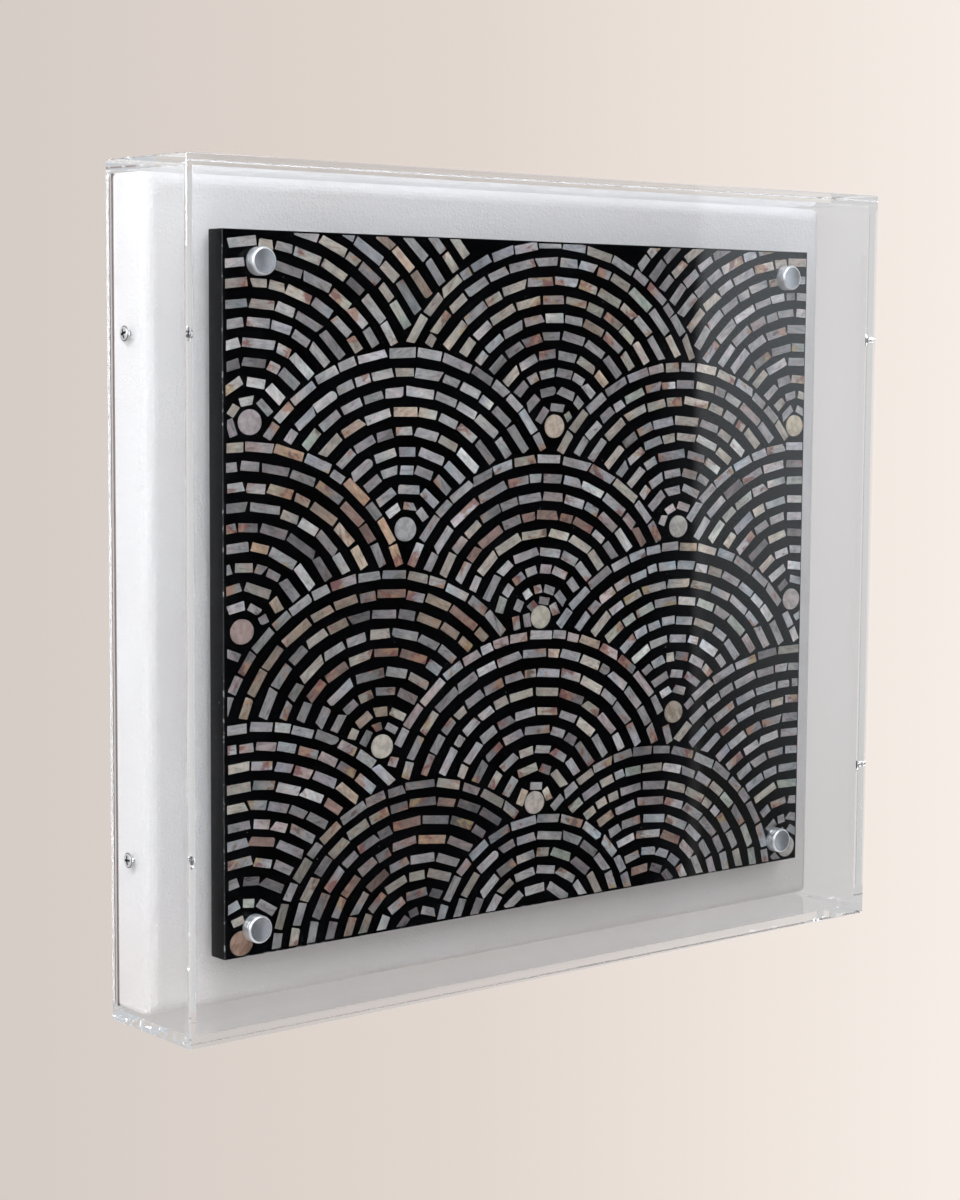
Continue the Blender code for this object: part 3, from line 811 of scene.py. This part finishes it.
def soft_light(name, place, aim, size, watts, colour=(1, 1, 1)):
    data = bpy.data.lights.new(name, "AREA")
    data.shape = "RECTANGLE"
    data.size, data.size_y = size
    data.energy = watts
    data.color = colour
    light = bpy.data.objects.new(name, data)
    bpy.context.scene.collection.objects.link(light)
    light.location = place
    light.rotation_euler = (Vector(aim) - Vector(place)).to_track_quat("-Z", "Y").to_euler()
    return light


soft_light("key_left", (-2.3, -0.6, 1.15), (-0.2, 0, 0.1), (2.0, 1.8), 106.0)
soft_light("top_fill", (0.0, -1.7, 2.2), (0, 0, 0), (1.5, 1.2), 77.0)


def build_world():
    """Soft studio surroundings. A warm pale backdrop behind the panel, white round the room, and a dark gap in front,
    as a photographer leaves one so that the black ground stays black; its right edge makes the reflection on the cover."""
    world = bpy.data.worlds.new("studio")
    bpy.context.scene.world = world
    world.use_nodes = True
    g = Graph(world.node_tree)
    back = world.node_tree.nodes["Background"]
    direction = g.node("ShaderNodeTexCoord").outputs["Generated"]
    x, y, z = g.split(direction)
    degrees = 180 / math.pi
    height = g.math("MULTIPLY", g.math("ARCSINE", z), degrees)
    behind = g.math("MULTIPLY", g.math("ARCTAN2", x, y), degrees)  # 0 along +Y, + towards +X
    ahead = g.math("MULTIPLY", g.math("ARCTAN2", x, g.math("MULTIPLY", y, -1.0)), degrees)  # 0 along -Y

    def ramp(value, low, high):
        made = g.node("ShaderNodeMapRange")
        for index, item in enumerate((value, low, high, 0.0, 1.0)):
            g.put(made.inputs[index], item)
        return made.outputs[0]

    warm = g.mix(ramp(behind, 28.5, 39.6), (0.665, 0.605, 0.565), (0.761, 0.680, 0.624))
    warm = g.mix(ramp(behind, 39.6, 50.7), warm, (0.925, 0.850, 0.795))
    # neutral beyond both its ends
    warm = g.mix(g.step(behind, 51.6, 55.0), warm, (0.755, 0.735, 0.73))
    warm = g.mix(g.step(behind, 27.4, 22.0), warm, (0.71, 0.685, 0.665))
    warm = g.mix(g.step(z, 0.60, 0.72), warm, (0.63, 0.635, 0.645))
    warm = g.mix(g.step(z, -0.60, -0.72), warm, (0.63, 0.635, 0.645))
    room = g.mix(g.step(height, -36.0, 8.0), (0.33, 0.215, 0.165), (0.90, 0.895, 0.905))
    room = g.mix(g.step(x, -0.80, 0.10), g.vector("SCALE", room, 0.80), room)
    # a grey flag beside it
    flag = g.math("MULTIPLY", g.math("MULTIPLY", g.step(ahead, 26.0, 28.5), g.step(ahead, 33.8, 33.4)), g.math("MULTIPLY", g.step(height, -24.0, -19.0), g.step(height, 23.0, 18.0)))
    high_flag = g.step(g.vector("DOT_PRODUCT", direction, (0.51, -0.27, 0.8165)), 0.985, 0.992)
    low_flag = g.step(g.vector("DOT_PRODUCT", direction, (0.64, 0.0, -0.77)), 0.955, 0.975)
    over_gap = g.math("MULTIPLY", g.math("MULTIPLY", g.step(ahead, 20.0, 26.0), g.step(ahead, 78.0, 68.0)), g.math("MULTIPLY", g.step(height, 10.0, 13.0), g.step(height, 50.0, 42.0)))
    flags = g.math("MAXIMUM", g.math("MAXIMUM", flag, low_flag), g.math("MAXIMUM", high_flag, over_gap))
    room = g.mix(flags, room, (0.63, 0.64, 0.655))
    # dark gap in front, with a soft edge at its right
    tall = g.math("MULTIPLY", g.step(height, -24.0, -17.0), g.step(height, 12.0, 6.0))
    gap = g.math("MULTIPLY", g.math("MULTIPLY", g.step(ahead, 33.0, 33.8), g.step(ahead, 44.9, 44.45)), tall)
    folds = g.step(line_noise(g, ahead, 2.2), 0.35, 0.75, 0.55, 1.0)
    folds = g.math("MULTIPLY", folds, g.step(ahead, 43.5, 44.3))
    room = g.mix(gap, room, g.mix(folds, (0.006, 0.006, 0.007), (0.050, 0.052, 0.060)))
    # the pale wall at its right, fading downward
    wall = g.math("MULTIPLY", g.math("MULTIPLY", g.step(ahead, 44.45, 44.9), g.step(ahead, 62.0, 52.0)), tall)
    fade = ramp(g.math("ADD", height, g.math("MULTIPLY", g.math("SUBTRACT", ahead, 45.7), 1.3)), -9.6, 1.6)
    room = g.mix(wall, room, g.mix(fade, (0.07, 0.07, 0.07), (0.75, 0.79, 0.83)))
    colour = g.mix(g.step(y, -0.10, 0.25), room, warm)
    # brightest from the left, with a little from the right
    key = g.math("MULTIPLY", g.step(g.vector("DOT_PRODUCT", direction, (-0.97, 0.02, 0.24)), 0.45, 0.98), g.step(y, 0.70, 0.20))
    colour = g.vector("ADD", colour, g.vector("SCALE", (0.25, 0.25, 0.245), key))
    side = g.step(g.vector("DOT_PRODUCT", direction, (0.98, -0.18, 0.08)), 0.80, 0.99)
    colour = g.vector("ADD", colour, g.vector("SCALE", (0.2, 0.2, 0.2), side))
    g.put(back.inputs["Color"], colour)
    back.inputs["Strength"].default_value = 1.0


build_world()
bpy.context.scene.view_settings.view_transform = "Standard"
# light that enters the cover's edges runs along inside the sheet, bouncing off its faces, before it comes out
bpy.context.scene.cycles.max_bounces = 128
bpy.context.scene.cycles.glossy_bounces = 112
bpy.context.scene.cycles.transmission_bounces = 64

# ---------------------------------------------------------------- camera
AIM_AZIMUTH, AIM_PITCH, AIM_ROLL = 0.6927096, -0.1012543, 0.0068300  # radians; azimuth from +Y towards +X
CAMERA_AT = Vector((-1.265716, -1.522048, 0.178582))
forward = Vector((math.sin(AIM_AZIMUTH) * math.cos(AIM_PITCH), math.cos(AIM_AZIMUTH) * math.cos(AIM_PITCH), math.sin(AIM_PITCH)))
level = Vector((math.cos(AIM_AZIMUTH), -math.sin(AIM_AZIMUTH), 0.0))
upward = level.cross(forward)
right = level * math.cos(AIM_ROLL) + upward * math.sin(AIM_ROLL)
upward = upward * math.cos(AIM_ROLL) - level * math.sin(AIM_ROLL)
camera_data = bpy.data.cameras.new("camera")
camera_data.sensor_width = 36.0
camera_data.lens = 2507.518 * 36.0 / 1200.0
camera_data.clip_start, camera_data.clip_end = 0.05, 50.0
camera = bpy.data.objects.new("camera", camera_data)
bpy.context.scene.collection.objects.link(camera)
turn = Matrix((right, upward, -forward)).transposed()
camera.matrix_world = Matrix.Translation(CAMERA_AT) @ turn.to_4x4()
bpy.context.scene.camera = camera
